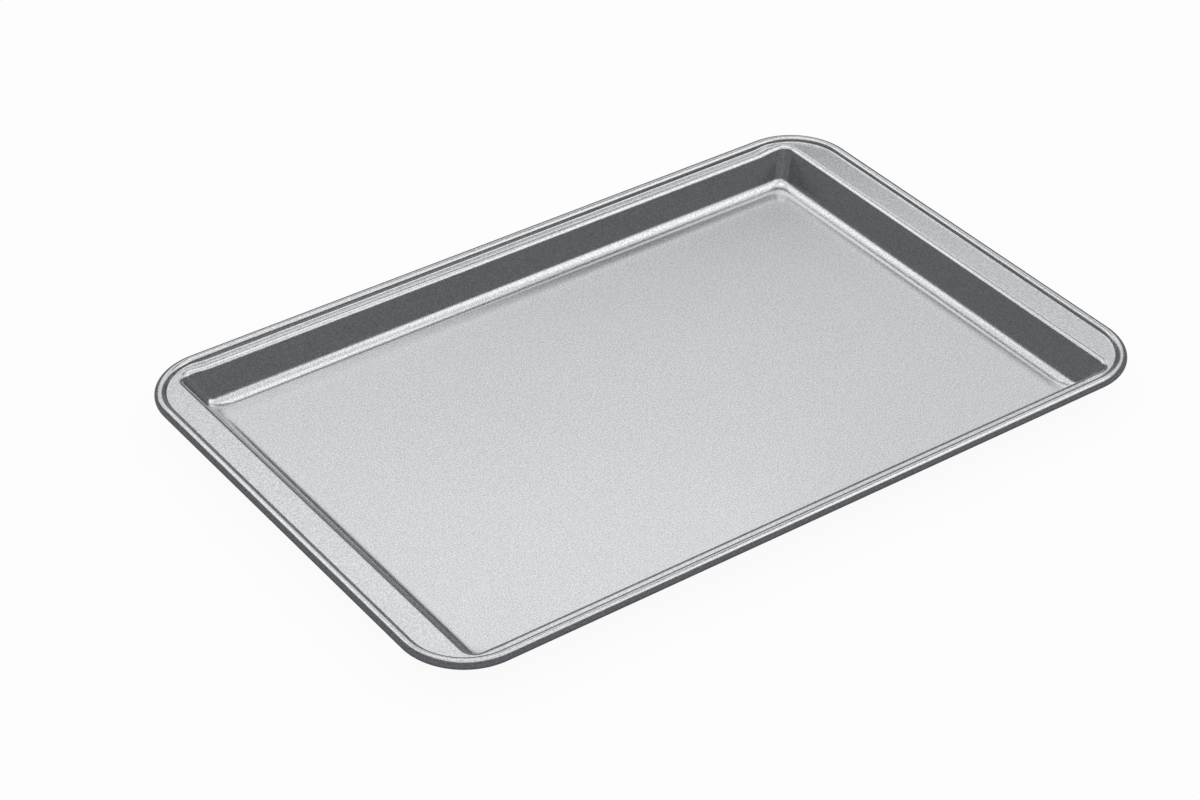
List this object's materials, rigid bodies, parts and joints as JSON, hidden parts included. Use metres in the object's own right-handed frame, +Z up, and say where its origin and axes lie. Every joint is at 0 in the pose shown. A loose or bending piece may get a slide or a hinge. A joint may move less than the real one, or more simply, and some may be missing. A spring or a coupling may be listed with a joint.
{
  "type": "jelly roll pan",
  "caption": "Shallow rectangular baking tray pressed from one steel sheet, with drafted walls, wide flat handle flanges at both ends and an edge rolled round a wire.",
  "frame": {"origin": "middle of the underside of the flat floor, the face that the pan stands on", "axes": "+X along the length, from one handle flange to the other; +Y across the width; +Z up, out of the open mouth"},
  "size_m": [0.4308, 0.2822, 0.0209],
  "materials": {
    "coated_sheet": "silver-grey release coating with a fine grain, half gloss",
    "rim_wire": "plain drawn steel wire"
  },
  "bodies": {
    "root": {"pan_body": "coated_sheet", "rim_wire": "rim_wire"}
  },
  "joints": []
}
